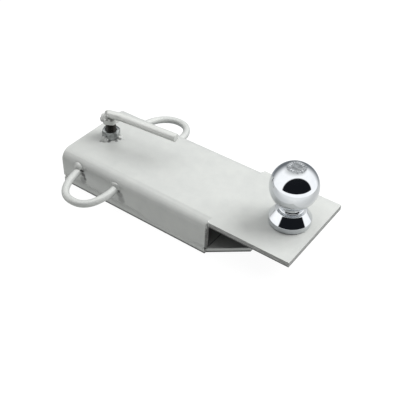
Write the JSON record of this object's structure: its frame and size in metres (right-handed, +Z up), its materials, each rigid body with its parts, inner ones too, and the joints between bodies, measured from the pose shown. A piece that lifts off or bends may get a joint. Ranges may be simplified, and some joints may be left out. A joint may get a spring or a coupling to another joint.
{
  "type": "trailer hitch with ball",
  "caption": "Tow hitch that slides over a fork tine: folded steel sleeve with a tongue, a chromed tow ball, chain loops and a screw clamp with a bar handle.",
  "frame": {"origin": "on the ground under the middle of the hitch's length and width", "axes": "+X from the clamp to the tow ball, +Y towards the far chain loop, +Z up"},
  "size_m": [0.296, 0.1986, 0.111],
  "materials": {
    "silver_paint": "satin silver-grey paint over rolled steel plate, bar and welds",
    "zinc_plate": "bright zinc plated fasteners",
    "chrome_plate": "polished chrome",
    "black_oxide": "oiled black thread, head painted over with the silver of the handle"
  },
  "bodies": {
    "hitch_body": {"sleeve_and_tongue": "silver_paint", "base_plate": "silver_paint", "seam_weld_near": "silver_paint", "seam_weld_far": "silver_paint", "chain_loop_near": "silver_paint", "chain_loop_far": "silver_paint", "loop_weld_near_rear": "silver_paint", "loop_weld_near_front": "silver_paint", "loop_weld_far_rear": "silver_paint", "loop_weld_far_front": "silver_paint", "nut_tack_weld_1": "silver_paint", "nut_tack_weld_2": "silver_paint", "nut_tack_weld_3": "silver_paint", "clamp_nut": "zinc_plate", "tow_ball": "chrome_plate", "lock_washer": "zinc_plate", "ball_nut": "zinc_plate"},
    "screw_lift": {"screw_tip": "black_oxide"},
    "screw_and_handle": {"clamp_screw": "black_oxide", "handle_bar": "silver_paint", "handle_weld_end": "silver_paint", "handle_weld_side": "silver_paint"}
  },
  "joints": [
    {"name": "screw_travel", "type": "slide", "parent": "hitch_body", "child": "screw_lift", "axis": [0, 0, 1], "range_m": [-0.0101, 0.0119]},
    {"name": "screw_turn", "type": "hinge", "parent": "screw_lift", "child": "screw_and_handle", "pos_m": [-0.1225, 0, 0.0643], "axis": [0, 0, 1], "range_deg": [-2070, 2430]}
  ],
  "couplings": [
    {"joint": "screw_travel", "follows": "screw_turn", "m_per_rad": 0.00027852}
  ]
}
